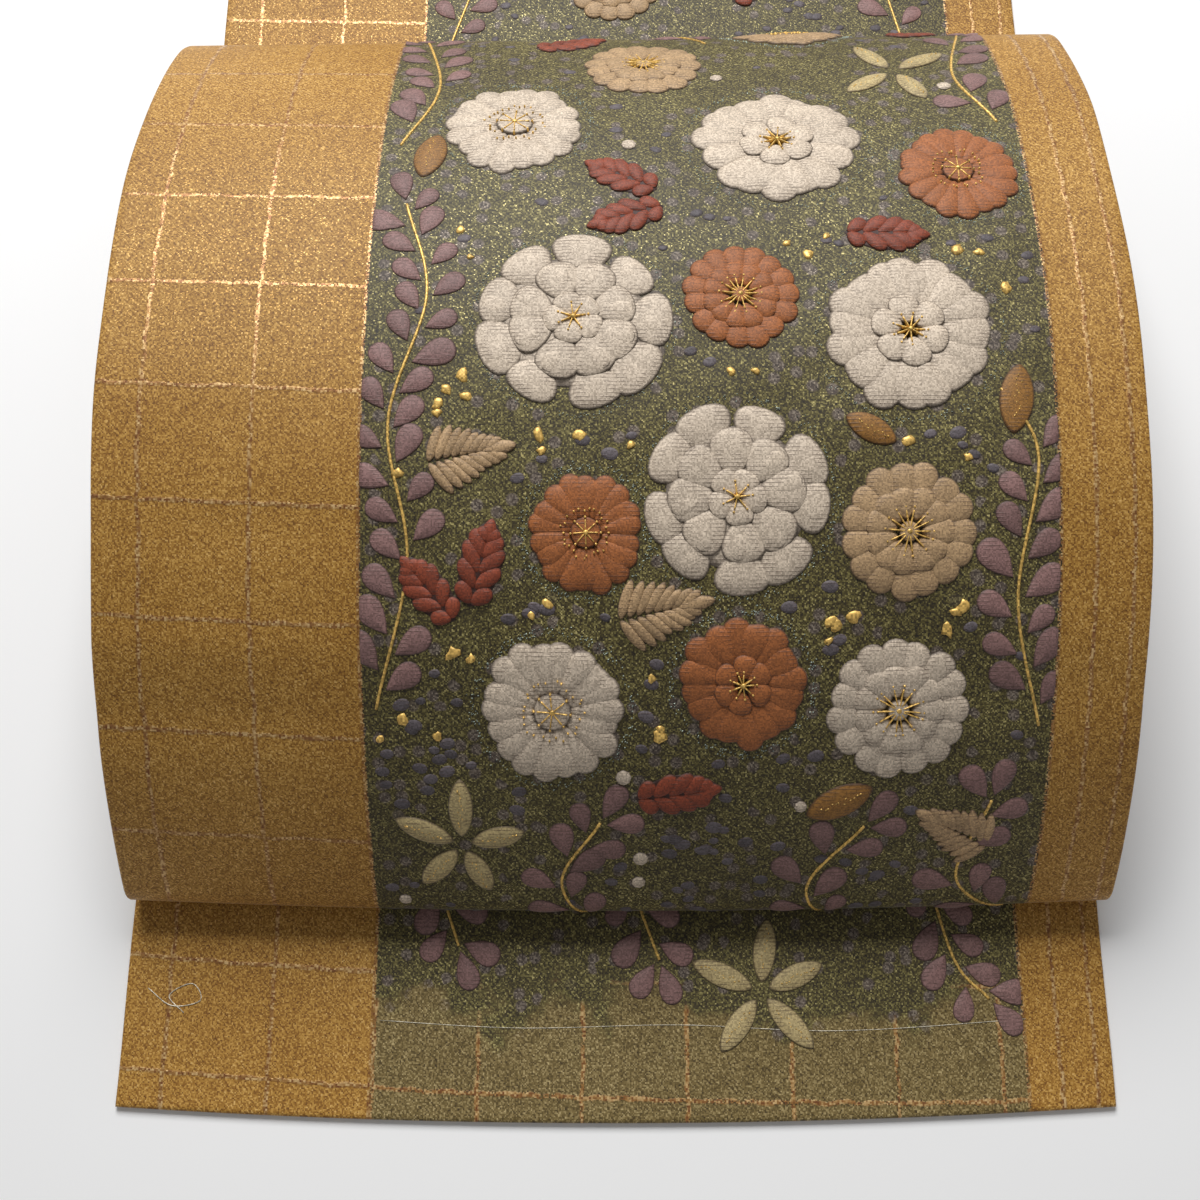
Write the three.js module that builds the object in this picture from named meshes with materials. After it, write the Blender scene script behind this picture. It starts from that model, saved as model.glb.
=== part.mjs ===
// A fukuro obi laid out in drum (taiko) form. Millimetres, +Z up, X across the cloth.
// The end of the sash lies at -Y, the drum rises behind it, and the folded rest lies at +Y.
//
// The whole sash is one strip, so its course is traced once, as a line in the YZ plane, on the
// cloth's figured face. The figured face is always on the left of the direction of travel.
// Each stretch of that course is a wall one cloth thick, its own mesh, a seam gap from the next.
import * as THREE from 'three';

// The cloth
const CLOTH_WIDTH = 310;
const CLOTH_THICKNESS = 2.0;
const SEAM_GAP = 0.3;
const COLUMNS = 8;

// The end of the sash and the layer folded back over it
const HEM_Y = -377.5;
const INNER_FOLD_Y = -37.5;
const INNER_FOLD_RADIUS = 0.15;
const TUCK_FRONT_Y = -306.2;
const TAIL_SHIFT_X = -1.5;

// The drum: each bend's radius on the figured face, and the slope where it ends, in degrees
const LOWER_EDGE_RADIUS = 9.2;
const FRONT_RADIUS = 203;
const FRONT_SLOPE = 51;
const REAR_RADIUS = 230;
const SHOULDER_SLOPE = 34.4;
const SHOULDER_RADIUS = 60;
const REAR_SLOPE = 72;
const FOOT_RADIUS = 12;

// How far the cloth lies out of true
const FRONT_BOW = 3.5;
const REAR_SKEW = 3;
const DRUM_TOP_Y = -155.5;
const DRUM_FRONT_Y = -315.4;
const DRUM_FOOT_Y = 12.5;

// The folded rest of the sash
const STACK_FRONT_Y = 82;
const STACK_REAR_Y = 382;
const LAYER_PITCH = 2.2;
const STACK_LAYERS = 10;
const LEVELS_PER_LAYER = 4;
const SELVEDGE_GROOVE = 0.8;
const LAYER_DRIFT = 0.9;
const STACK_CORNER = 1.5;
const TOP_FOLD_RADIUS = 3;
const TOP_END_SHORT = 14;

const COLOURS = { gold: 0xa8783a, figured: 0x6a5636, plain: 0x8f6a34 };

const radians = THREE.MathUtils.degToRad;

// A pose on the course: where the figured face is, and which way the strip runs there.
function advance(pose, length) {
  return {
    y: pose.y + length * Math.cos(pose.heading),
    z: pose.z + length * Math.sin(pose.heading),
    heading: pose.heading,
  };
}

// A bend by turn degrees, to the left where turn is positive.
function bend(pose, turn, radius) {
  const side = Math.sign(turn);
  const centreY = pose.y - side * radius * Math.sin(pose.heading);
  const centreZ = pose.z + side * radius * Math.cos(pose.heading);
  const heading = pose.heading + radians(turn);
  return {
    y: centreY + side * radius * Math.sin(heading),
    z: centreZ - side * radius * Math.cos(heading),
    heading,
  };
}

// The poses along a table of rows, each a straight { length, steps } or a { turn, radius, steps }.
function trace(start, rows) {
  const poses = [start];
  let rowStart = start;
  for (const row of rows) {
    for (let step = 1; step <= row.steps; step += 1) {
      const share = step / row.steps;
      poses.push(row.turn === undefined
        ? advance(rowStart, row.length * share)
        : bend(rowStart, row.turn * share, row.radius));
    }
    rowStart = poses[poses.length - 1];
  }
  return poses;
}

// The pose where the next stretch starts.
function afterSeam(poses) {
  return advance(poses[poses.length - 1], SEAM_GAP);
}

// How far a point at (x, y) lies from a true sash: the lower edge and hem bow forward in their
// middle, and the drum's foot runs slightly askew.
function outOfTrue(x, y) {
  const across = 2 * x / CLOTH_WIDTH;
  const forward = Math.max(0, (DRUM_TOP_Y - y) / (DRUM_TOP_Y - DRUM_FRONT_Y));
  const rising = (y - DRUM_TOP_Y) / (DRUM_FOOT_Y - DRUM_TOP_Y);
  const falling = (STACK_FRONT_Y - y) / (STACK_FRONT_Y - DRUM_FOOT_Y);
  const backward = Math.max(0, Math.min(1, rising, falling));
  return REAR_SKEW * across * backward - FRONT_BOW * (1 - across * across) * forward;
}

// A closed mesh from corner rings: each ring's neighbours are joined, and both ends are capped.
function loft(rings) {
  const ringSize = rings[0].length;
  const positions = rings.flat(2);
  const indices = [];
  for (let i = 0; i < rings.length - 1; i += 1) {
    for (let j = 0; j < ringSize; j += 1) {
      const next = (j + 1) % ringSize;
      const here = i * ringSize;
      const ahead = here + ringSize;
      indices.push(here + j, here + next, ahead + next);
      indices.push(here + j, ahead + next, ahead + j);
    }
  }
  return { positions, indices, ringSize, last: (rings.length - 1) * ringSize };
}

function closedGeometry(positions, indices) {
  const geometry = new THREE.BufferGeometry();
  geometry.setAttribute('position', new THREE.Float32BufferAttribute(positions, 3));
  geometry.setIndex(indices);
  geometry.computeVertexNormals();
  return geometry;
}

// The wall of cloth along a stretch: its figured face, and its plain face one thickness behind.
function clothWall(poses) {
  const rings = poses.map(({ y, z, heading }) => {
    const backY = y + CLOTH_THICKNESS * Math.sin(heading);
    const backZ = z - CLOTH_THICKNESS * Math.cos(heading);
    const figured = [];
    const plain = [];
    for (let column = 0; column <= COLUMNS; column += 1) {
      const x = CLOTH_WIDTH * (column / COLUMNS - 0.5);
      figured.push([x, y + outOfTrue(x, y), z]);
      plain.push([x, backY + outOfTrue(x, y), backZ]);
    }
    return [...figured, ...plain.reverse()];
  });
  const { positions, indices, ringSize, last } = loft(rings);
  for (let column = 0; column < COLUMNS; column += 1) {
    const behind = ringSize - 1 - column;
    indices.push(column, behind, column + 1);
    indices.push(column + 1, behind, behind - 1);
    indices.push(last + column, last + column + 1, last + behind);
    indices.push(last + column + 1, last + behind - 1, last + behind);
  }
  return closedGeometry(positions, indices);
}

// How far the stack's edge is drawn in at height, from bulges of one size stacked on each other.
function bulgeInset(height, size, lowest) {
  const place = (height - lowest) / size;
  const fromMiddle = 2 * (place - Math.floor(place)) - 1;
  return SELVEDGE_GROOVE * fromMiddle * fromMiddle * size / LAYER_PITCH;
}

// One level of the folded stack: a rectangle with its corners cut, drawn in at each layer's seam.
function stackRing(height) {
  const layer = Math.min(STACK_LAYERS - 1, Math.floor(height / LAYER_PITCH));
  const drift = LAYER_DRIFT * Math.sin(2.4 * layer);
  const half = CLOTH_WIDTH / 2 - bulgeInset(height, LAYER_PITCH, 0);
  const runsOn = height < LAYER_PITCH;
  const wrapped = height > (STACK_LAYERS - 1) * LAYER_PITCH;
  const frontInset = bulgeInset(height, 2 * LAYER_PITCH, LAYER_PITCH);
  const wrapInset = CLOTH_THICKNESS + SEAM_GAP;
  const front = STACK_FRONT_Y + (runsOn ? 0 : wrapped ? wrapInset : frontInset);
  const rear = STACK_REAR_Y - bulgeInset(height, 2 * LAYER_PITCH, 0);
  const cut = STACK_CORNER;
  return [
    [drift - half, front + cut, height],
    [drift - half + cut, front, height],
    [drift + half - cut, front, height],
    [drift + half, front + cut, height],
    [drift + half, rear - cut, height],
    [drift + half - cut, rear, height],
    [drift - half + cut, rear, height],
    [drift - half, rear - cut, height],
  ];
}

function foldedStack() {
  const rings = [];
  for (let level = 0; level <= STACK_LAYERS * LEVELS_PER_LAYER; level += 1) {
    rings.push(stackRing(level * LAYER_PITCH / LEVELS_PER_LAYER));
  }
  const { positions, indices, ringSize, last } = loft(rings);
  for (let corner = 1; corner < ringSize - 1; corner += 1) {
    indices.push(0, corner + 1, corner);
    indices.push(last, last + corner, last + corner + 1);
  }
  return closedGeometry(positions, indices);
}

function drumRows(start) {
  const front = [
    { turn: FRONT_SLOPE - 180, radius: LOWER_EDGE_RADIUS, steps: 10 },
    { turn: -FRONT_SLOPE, radius: FRONT_RADIUS, steps: 16 },
    { turn: -SHOULDER_SLOPE, radius: REAR_RADIUS, steps: 11 },
    { turn: SHOULDER_SLOPE - REAR_SLOPE, radius: SHOULDER_RADIUS, steps: 6 },
  ];
  const shoulder = trace(start, front).at(-1);
  const footHeight = FOOT_RADIUS * (1 - Math.cos(radians(REAR_SLOPE)));
  const fall = shoulder.z - footHeight - CLOTH_THICKNESS;
  return [
    ...front,
    { length: fall / Math.sin(radians(REAR_SLOPE)), steps: 1 },
    { turn: REAR_SLOPE, radius: FOOT_RADIUS, steps: 6 },
  ];
}

// The course from the hem to where the folded stack begins, one list of poses for each stretch.
function course() {
  const hem = { y: HEM_Y, z: CLOTH_THICKNESS, heading: 0 };
  const tail = trace(hem, [{ length: INNER_FOLD_Y - HEM_Y, steps: 6 }]);
  const tuck = trace(afterSeam(tail), [
    { turn: 180, radius: INNER_FOLD_RADIUS, steps: 8 },
    { length: INNER_FOLD_Y - TUCK_FRONT_Y, steps: 5 },
  ]);
  const drumStart = afterSeam(tuck);
  const drum = trace(drumStart, drumRows(drumStart));
  const runStart = afterSeam(drum);
  const rearRun = trace(runStart, [{ length: STACK_FRONT_Y - SEAM_GAP - runStart.y, steps: 3 }]);
  return { tail, tuck, drum, rearRun };
}

// The last layer wraps down over the one below it at the front, and ends short of it at the rear.
function topLayer() {
  const underside = STACK_LAYERS * LAYER_PITCH + SEAM_GAP;
  const faceHeight = underside + CLOTH_THICKNESS;
  const lowest = (STACK_LAYERS - 1 + 1 / LEVELS_PER_LAYER) * LAYER_PITCH + SEAM_GAP;
  const start = { y: STACK_FRONT_Y, z: lowest, heading: Math.PI / 2 };
  const flatLength = STACK_REAR_Y - TOP_END_SHORT - STACK_FRONT_Y - TOP_FOLD_RADIUS;
  return trace(start, [
    { length: faceHeight - TOP_FOLD_RADIUS - lowest, steps: 1 },
    { turn: -90, radius: TOP_FOLD_RADIUS, steps: 5 },
    { length: flatLength, steps: 3 },
  ]);
}

function piece(name, geometry, color) {
  const material = new THREE.MeshStandardMaterial({ color, roughness: 0.7, metalness: 0.1 });
  const mesh = new THREE.Mesh(geometry, material);
  mesh.name = name;
  return mesh;
}

const stretches = course();
const tail = piece('tail', clothWall(stretches.tail), COLOURS.gold);
tail.position.x = TAIL_SHIFT_X;

const obi = new THREE.Group();
obi.add(
  tail,
  piece('tuck', clothWall(stretches.tuck), COLOURS.plain),
  piece('drum', clothWall(stretches.drum), COLOURS.figured),
  piece('rear_run', clothWall(stretches.rearRun), COLOURS.figured),
  piece('folded_stack', foldedStack(), COLOURS.plain),
  piece('top_layer', clothWall(topLayer()), COLOURS.figured),
);

export default obi;
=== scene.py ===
import math
import random

import bpy
import numpy as np
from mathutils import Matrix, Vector


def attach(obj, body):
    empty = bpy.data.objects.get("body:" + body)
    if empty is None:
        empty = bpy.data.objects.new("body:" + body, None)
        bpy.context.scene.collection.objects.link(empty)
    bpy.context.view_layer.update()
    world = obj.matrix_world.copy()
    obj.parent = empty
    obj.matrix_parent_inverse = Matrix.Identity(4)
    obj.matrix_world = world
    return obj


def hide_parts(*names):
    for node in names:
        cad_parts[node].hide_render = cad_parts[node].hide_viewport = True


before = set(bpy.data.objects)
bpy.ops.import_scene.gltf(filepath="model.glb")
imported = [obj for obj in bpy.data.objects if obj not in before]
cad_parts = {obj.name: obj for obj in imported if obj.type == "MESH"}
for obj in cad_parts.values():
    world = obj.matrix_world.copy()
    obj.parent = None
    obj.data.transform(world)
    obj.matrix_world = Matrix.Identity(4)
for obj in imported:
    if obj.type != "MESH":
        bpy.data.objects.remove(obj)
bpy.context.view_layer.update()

# All sizes are in millimetres until a mesh is made. u runs across the cloth, s along it from the
# hem, and h outward from its figured face.
MM = 0.001

# The cloth
WIDTH = 310.0
THICK = 2.0
SEAM_GAP = 0.3
HALF = WIDTH / 2
EDGE_ROUND = 0.9
EDGE_ANGLES = (60, 30, 0, -30, -60)

# The course of the strip, as the solids have it
HEM_Y = -377.5
INNER_FOLD_Y = -37.5
INNER_FOLD_RADIUS = 0.15
TUCK_FRONT_Y = -306.2
TAIL_SHIFT = -1.5
LOWER_EDGE_RADIUS = 9.2
FRONT_RADIUS = 203.0
FRONT_SLOPE = 51.0
REAR_RADIUS = 230.0
SHOULDER_SLOPE = 34.4
SHOULDER_RADIUS = 60.0
REAR_SLOPE = 72.0
FOOT_RADIUS = 12.0
FRONT_BOW = 3.5
REAR_SKEW = 3.0
DRUM_TOP_Y = -155.5
DRUM_FRONT_Y = -315.4
DRUM_FOOT_Y = 12.5

# The folded rest
STACK_FRONT_Y = 82.0
STACK_REAR_Y = 382.0
LAYER_PITCH = 2.2
STACK_LAYERS = 10
TOP_FOLD_RADIUS = 3.0
TOP_END_SHORT = 14.0
SELVEDGE_GROOVE = 0.85
LAYER_DRIFT = 0.9
STACK_LEVELS = 6
STACK_POINTS = 64
CORNER_SOFTNESS = 0.006

PANEL_LEFT = -76.3
PANEL_RIGHT = 128.3
CHECK_U = 32.7
CHECK_S = 34.3
CHECK_LEAN = 0.03
CHECK_U_START = -141.0
RIGHT_LINES = (138.6, 149.6)
THREAD = 0.42
METAL_THREAD = 0.6


# ---- course of the cloth
class Course:
    """A line in the YZ plane made of straights and bends; the figured face is on its left."""

    def __init__(self, y, z, heading, s=0.0):
        self.rows = []
        self.marks = {}
        self.y, self.z, self.heading, self.s = y, z, math.radians(heading), s

    def _add(self, name, length, curvature):
        self.rows.append((self.s, self.y, self.z, self.heading, curvature))
        self.marks[name] = self.s
        end = self._walk(self.y, self.z, self.heading, curvature, length)
        self.y, self.z, self.heading = (float(x) for x in end)
        self.s += length

    @staticmethod
    def _walk(y, z, heading, curvature, length):
        turned = heading + curvature * length
        bent = np.abs(curvature) > 1e-9
        k = np.where(bent, curvature, 1.0)
        y2 = np.where(bent, y + (np.sin(turned) - np.sin(heading)) / k, y + length * np.cos(heading))
        z2 = np.where(bent, z - (np.cos(turned) - np.cos(heading)) / k, z + length * np.sin(heading))
        return y2, z2, turned

    def straight(self, name, length):
        self._add(name, length, 0.0)

    def bend(self, name, turn, radius):
        length = abs(math.radians(turn)) * radius
        self._add(name, length, math.radians(turn) / length)

    def pose(self, s):
        rows = np.array(self.rows)
        index = np.clip(np.searchsorted(rows[:, 0], s, side="right") - 1, 0, len(rows) - 1)
        s0, y, z, heading, curvature = rows[index].T
        return self._walk(y, z, heading, curvature, s - s0)


def main_course():
    course = Course(HEM_Y, THICK, 0)
    course.straight("tail", INNER_FOLD_Y - HEM_Y)
    course.straight("seam_1", SEAM_GAP)
    course.bend("inner_fold", 180, INNER_FOLD_RADIUS)
    course.straight("tuck", INNER_FOLD_Y - TUCK_FRONT_Y)
    course.straight("seam_2", SEAM_GAP)
    course.bend("lower_edge", FRONT_SLOPE - 180, LOWER_EDGE_RADIUS)
    course.bend("front", -FRONT_SLOPE, FRONT_RADIUS)
    course.bend("rear", -SHOULDER_SLOPE, REAR_RADIUS)
    course.bend("shoulder", SHOULDER_SLOPE - REAR_SLOPE, SHOULDER_RADIUS)
    foot_height = FOOT_RADIUS * (1 - math.cos(math.radians(REAR_SLOPE)))
    fall = (course.z - foot_height - THICK) / math.sin(math.radians(REAR_SLOPE))
    course.straight("fall", fall)
    course.bend("foot", REAR_SLOPE, FOOT_RADIUS)
    course.straight("seam_3", SEAM_GAP)
    course.straight("run", STACK_FRONT_Y - SEAM_GAP - course.y)
    course.straight("end", 0.0)
    return course


def top_course(s):
    underside = STACK_LAYERS * LAYER_PITCH + SEAM_GAP
    face = underside + THICK
    lowest = (STACK_LAYERS - 0.75) * LAYER_PITCH + SEAM_GAP
    course = Course(STACK_FRONT_Y, lowest, 90, s)
    course.straight("wrap", face - TOP_FOLD_RADIUS - lowest)
    course.bend("wrap_fold", -90, TOP_FOLD_RADIUS)
    course.straight("top", STACK_REAR_Y - TOP_END_SHORT - STACK_FRONT_Y - TOP_FOLD_RADIUS)
    course.straight("end", 0.0)
    return course


MAIN = main_course()
MARK = MAIN.marks
CHECK_START = MARK["front"] + 19.8
TAIL_CHECK_START = 7.0
TOP = top_course(MARK["end"] + STACK_LAYERS * (STACK_REAR_Y - STACK_FRONT_Y))


def smooth(x):
    x = np.clip(x, 0.0, 1.0)
    return x * x * (3 - 2 * x)


def out_of_true(x, y):
    across = 2 * x / WIDTH
    forward = np.maximum(0, (DRUM_TOP_Y - y) / (DRUM_TOP_Y - DRUM_FRONT_Y))
    rising = (y - DRUM_TOP_Y) / (DRUM_FOOT_Y - DRUM_TOP_Y)
    falling = (STACK_FRONT_Y - y) / (STACK_FRONT_Y - DRUM_FOOT_Y)
    backward = np.clip(np.minimum(rising, falling), 0, 1)
    return REAR_SKEW * across * backward - FRONT_BOW * (1 - across**2) * forward


# Soft creases and swells: centre across, centre along from the drum's top towards
# its lower edge, reach across, reach along, and height (negative for a trough)
SWELLS = [
    (-120, 118, 70, 9, -0.7),
    (-128, 96, 60, 8, 0.5),
    (-110, 62, 55, 11, -0.45),
    (-135, 20, 45, 14, 0.4),
    (-118, -40, 60, 16, -0.4),
    (-100, -95, 50, 13, 0.35),
    (-84, 70, 7, 90, -0.35),
    (-84, -60, 6, 80, -0.3),
    (135, 110, 40, 10, -0.5),
    (140, 45, 30, 16, 0.4),
    (133, -25, 10, 70, -0.35),
    (146, -90, 30, 15, 0.45),
    (-150, 140, 14, 22, 0.6),
    (152, 150, 12, 18, -0.5),
    (30, 165, 90, 7, -0.35),
]


def swell(u, s):
    """How far the cloth stands off its solid's face at (u, s)."""
    along = MARK["rear"] - s
    height = np.zeros(np.broadcast(u, s).shape)
    for cu, cs, reach_u, reach_s, size in SWELLS:
        height = height + size * np.exp(-(((u - cu) / reach_u) ** 2) - ((along - cs) / reach_s) ** 2)
    on_arch = smooth((s - MARK["front"]) / 25) * smooth((MARK["fall"] - s) / 25)
    inside = smooth((u - PANEL_LEFT) / 6) * smooth((PANEL_RIGHT - u) / 6)
    puff = np.sin(u / 7.3 + 1.3 * np.sin(s / 23)) * np.sin(s / 8.1 + 1.7 * np.sin(u / 31))
    return on_arch * (height + 0.3 * inside * puff)


def selvedge_drift(u, s):
    """The cut edge isn't quite straight: it wanders a little, and the middle doesn't."""
    wander = 0.35 * np.sin(s / 37.0) + 0.2 * np.sin(s / 13.0 + 1.0)
    return wander * np.abs(u / HALF) ** 6


def surface(course, u, s, h, shift=0.0):
    """Points in millimetres at (u, s), h outward from the cloth's figured face."""
    u, s, h = np.broadcast_arrays(np.asarray(u, float), np.asarray(s, float), np.asarray(h, float))
    y, z, heading = course.pose(s)
    out = h + (swell(u, s) if course is MAIN else 0.0)
    y = y - out * np.sin(heading)
    z = z + out * np.cos(heading)
    x = u + selvedge_drift(u, s)
    return np.stack([x + shift, y + out_of_true(x, y), z], axis=-1)


# ---- meshes
def make_mesh(name, points, faces, material, uv=None, floats=(), colours=(), back=None, smooth_on=True):
    """A mesh object from points in millimetres. back gives the faces of the second material."""
    mesh = bpy.data.meshes.new(name)
    mesh.from_pydata((np.asarray(points) * MM).tolist(), [], faces)
    for item in material if isinstance(material, (list, tuple)) else [material]:
        mesh.materials.append(item)
    if back is not None:
        mesh.polygons.foreach_set("material_index", np.asarray(back, np.int32))
    if uv is not None:
        corners = np.empty(len(mesh.loops), np.int32)
        mesh.loops.foreach_get("vertex_index", corners)
        layer = mesh.uv_layers.new(name="cloth")
        layer.data.foreach_set("uv", (np.asarray(uv)[corners] * MM).astype(np.float32).ravel())
    for key, values in dict(floats).items():
        attribute = mesh.attributes.new(key, "FLOAT", "POINT")
        attribute.data.foreach_set("value", np.asarray(values, np.float32))
    for key, values in dict(colours).items():
        attribute = mesh.attributes.new(key, "FLOAT_COLOR", "POINT")
        rgba = np.ones((len(values), 4), np.float32)
        rgba[:, :3] = values
        attribute.data.foreach_set("color", rgba.ravel())
    if smooth_on:
        mesh.polygons.foreach_set("use_smooth", [True] * len(mesh.polygons))
    mesh.update()
    obj = bpy.data.objects.new(name, mesh)
    bpy.context.scene.collection.objects.link(obj)
    return obj


def ring_faces(stations, size):
    faces = []
    for i in range(stations - 1):
        here, ahead = i * size, (i + 1) * size
        for j in range(size):
            k = (j + 1) % size
            faces.append((here + j, here + k, ahead + k, ahead + j))
    return faces


def section(columns):
    """One cross-section of the cloth, (u, h), from the figured face round both rounded selvedges."""
    inner = HALF - EDGE_ROUND
    across = np.linspace(-inner, inner, columns)
    angles = np.radians(EDGE_ANGLES)
    round_u = HALF - EDGE_ROUND + EDGE_ROUND * np.cos(angles)
    round_h = -THICK / 2 + THICK / 2 * np.sin(angles)
    top = [(u, 0.0) for u in across]
    right = list(zip(round_u, round_h))
    bottom = [(u, -THICK) for u in across[::-1]]
    left = [(-u, h) for u, h in right[::-1]]
    return np.array(top + right + bottom + left)


END_TAPER = [(0.0, 0.35), (0.25, 0.7), (0.7, 0.93), (1.3, 1.0)]


def stations(start, end, step):
    """Places along the cloth, close together at its two ends, each with its share of thickness."""
    places = [(start + d, share) for d, share in END_TAPER]
    inner = np.linspace(start + 2.2, end - 2.2, max(2, int((end - start) / step)))
    places += [(s, 1.0) for s in inner]
    places += [(end - d, share) for d, share in END_TAPER[::-1]]
    return np.array(places)


def cloth(name, course, start, end, columns, step, materials, shift=0.0):
    """A closed shell of cloth between two places along its course."""
    ring = section(columns)
    places = stations(start, end, step)
    size = len(ring)
    u = np.tile(ring[:, 0], len(places))
    h = np.tile(ring[:, 1], len(places))
    s = np.repeat(places[:, 0], size)
    share = np.repeat(places[:, 1], size)
    h = (h + THICK / 2) * share - THICK / 2
    points = surface(course, u, s, h, shift)
    faces = ring_faces(len(places), size)
    last = (len(places) - 1) * size
    partner = [(2 * columns + 4 - j) % size for j in range(columns)]
    for j in range(columns - 1):
        a, b = partner[j], partner[j + 1]
        faces.append((j, a, b, j + 1))
        faces.append((last + j, last + j + 1, last + b, last + a))
    round_points = len(EDGE_ANGLES)
    first_right = list(range(columns - 1, columns + round_points + 1))
    first_left = list(range(size - round_points - 1, size)) + [0]
    faces.append(tuple(first_right[::-1]))
    faces.append(tuple(first_left[::-1]))
    faces.append(tuple(last + j for j in first_right))
    faces.append(tuple(last + j for j in first_left))
    back = [0] * len(faces)
    middle_right = columns + 2
    middle_left = size - 3
    for index in range((len(places) - 1) * size):
        if middle_right <= index % size < middle_left:
            back[index] = 1
    return make_mesh(name, points, faces, materials, np.stack([u, s], -1), back=back)


# ---- node building
def srgb(r, g, b):
    """A colour given as 0 to 255, as the linear values that a shader takes."""
    def linear(c):
        c = c / 255
        return c / 12.92 if c <= 0.04045 else ((c + 0.055) / 1.055) ** 2.4
    return (linear(r), linear(g), linear(b), 1.0)


class Shader:
    """A new material and short names for the nodes that it needs."""

    def __init__(self, name, **settings):
        self.material = bpy.data.materials.new(name)
        self.material.use_nodes = True
        self.nodes = self.material.node_tree.nodes
        self.links = self.material.node_tree.links
        self.bsdf = self.nodes["Principled BSDF"]
        for socket, value in settings.items():
            self.bsdf.inputs[socket.replace("_", " ")].default_value = value

    def put(self, node, index, value):
        socket = node.inputs[index]
        if isinstance(value, bpy.types.NodeSocket):
            self.links.new(value, socket)
        else:
            socket.default_value = value

    def node(self, kind, inputs=(), **settings):
        made = self.nodes.new("ShaderNode" + kind)
        for key, value in settings.items():
            setattr(made, key, value)
        for index, value in dict(inputs).items():
            self.put(made, index, value)
        return made

    def math(self, operation, a, b=0.0, c=0.0):
        return self.node("Math", {0: a, 1: b, 2: c}, operation=operation).outputs[0]

    def add(self, a, b):
        return self.math("ADD", a, b)

    def sub(self, a, b):
        return self.math("SUBTRACT", a, b)

    def mul(self, a, b):
        return self.math("MULTIPLY", a, b)

    def step(self, value, low, high):
        """0 below low, 1 above high, smooth between; falls instead where high is below low."""
        made = self.node("MapRange", {"Value": value}, interpolation_type="SMOOTHSTEP")
        rising = low < high
        made.inputs["From Min"].default_value = low if rising else high
        made.inputs["From Max"].default_value = high if rising else low
        made.inputs["To Min"].default_value = 0.0 if rising else 1.0
        made.inputs["To Max"].default_value = 1.0 if rising else 0.0
        return made.outputs["Result"]

    def pair(self, x, y):
        return self.node("CombineXYZ", {0: x, 1: y}).outputs[0]

    def mix(self, factor, a, b, blend="MIX"):
        made = self.node("Mix", data_type="RGBA", blend_type=blend)
        self.put(made, 0, factor)
        self.put(made, 6, a)
        self.put(made, 7, b)
        return made.outputs[2]

    def noise(self, vector, scale, detail=2.0, roughness=0.5):
        made = self.node("TexNoise", {"Vector": vector}, noise_dimensions="2D")
        made.inputs["Scale"].default_value = scale
        made.inputs["Detail"].default_value = detail
        made.inputs["Roughness"].default_value = roughness
        return made.outputs["Fac"]

    def white(self, vector):
        return self.node("TexWhiteNoise", {"Vector": vector}, noise_dimensions="2D").outputs["Value"]

    def ramp(self, factor, stops):
        made = self.node("ValToRGB", {0: factor})
        elements = made.color_ramp.elements
        while len(elements) < len(stops):
            elements.new(0.5)
        for element, (place, colour) in zip(elements, stops):
            element.position = place
            element.color = colour
        return made.outputs["Color"]

    def tones(self, factor, stops):
        """A ramp whose rows are a place and a colour given as 0 to 255."""
        return self.ramp(factor, [(place, srgb(*colour)) for place, colour in stops])

    def attribute(self, name, output="Fac"):
        return self.node("Attribute", attribute_name=name).outputs[output]

    def cloth_place(self):
        """u and s in millimetres, from the UV map."""
        uv = self.node("UVMap", uv_map="cloth").outputs[0]
        apart = self.node("SeparateXYZ", {0: uv})
        return self.mul(apart.outputs[0], 1000.0), self.mul(apart.outputs[1], 1000.0)

    def cells(self, u, s, thread):
        """A random number for each crossing of two threads, and the twill's place along its diagonal, which
        marks its pits; these are darkened as painted shade.
        """
        across = self.math("FLOOR", self.math("DIVIDE", u, thread))
        along = self.math("FLOOR", self.math("DIVIDE", s, thread))
        random_value = self.white(self.pair(across, along))
        diagonal = self.math("FRACT", self.mul(self.add(across, along), 0.25))
        return random_value, diagonal

    def bump(self, height, distance, strength=1.0):
        made = self.node("Bump", {"Height": height})
        made.inputs["Distance"].default_value = distance * MM
        made.inputs["Strength"].default_value = strength
        self.links.new(made.outputs[0], self.bsdf.inputs["Normal"])

    def colour(self, value):
        self.put(self.bsdf, "Base Color", value)

    def roughness(self, value):
        self.put(self.bsdf, "Roughness", value)


# ---- materials of the ground
def line_mask(sh, distance, random_value, breaks, width):
    """Broken glitter along a line: dense at its middle, thinned by breaks."""
    near = sh.step(distance, width, width * 0.25)
    kept = sh.add(sh.mul(breaks, 0.9), sh.mul(near, 0.55))
    return sh.mul(near, sh.step(sh.add(kept, sh.mul(random_value, 0.55)), 0.95, 1.1))


def nearest_line(sh, place, start, pitch):
    """How far place is from the nearest of evenly spaced lines."""
    turns = sh.math("DIVIDE", sh.sub(place, start), pitch)
    wrapped = sh.math("FRACT", sh.add(turns, 0.5))
    return sh.mul(sh.math("ABSOLUTE", sh.sub(wrapped, 0.5)), pitch)


def ground_tones(sh, grain):
    """Gold for the strips, dark green for the panel and olive for its end."""
    gold = sh.tones(grain, [
        (0.0, (104, 62, 8)), (0.3, (146, 99, 24)), (0.55, (176, 129, 50)),
        (0.8, (205, 158, 78)), (1.0, (236, 196, 124)),
    ])
    green = sh.tones(grain, [
        (0.0, (24, 16, 4)), (0.3, (54, 44, 16)), (0.58, (92, 82, 36)),
        (0.82, (140, 130, 76)), (1.0, (222, 206, 138)),
    ])
    olive = sh.tones(grain, [
        (0.0, (56, 40, 10)), (0.3, (98, 80, 34)), (0.58, (130, 110, 62)),
        (0.82, (166, 146, 98)), (1.0, (214, 192, 138)),
    ])
    return gold, green, olive


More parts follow.
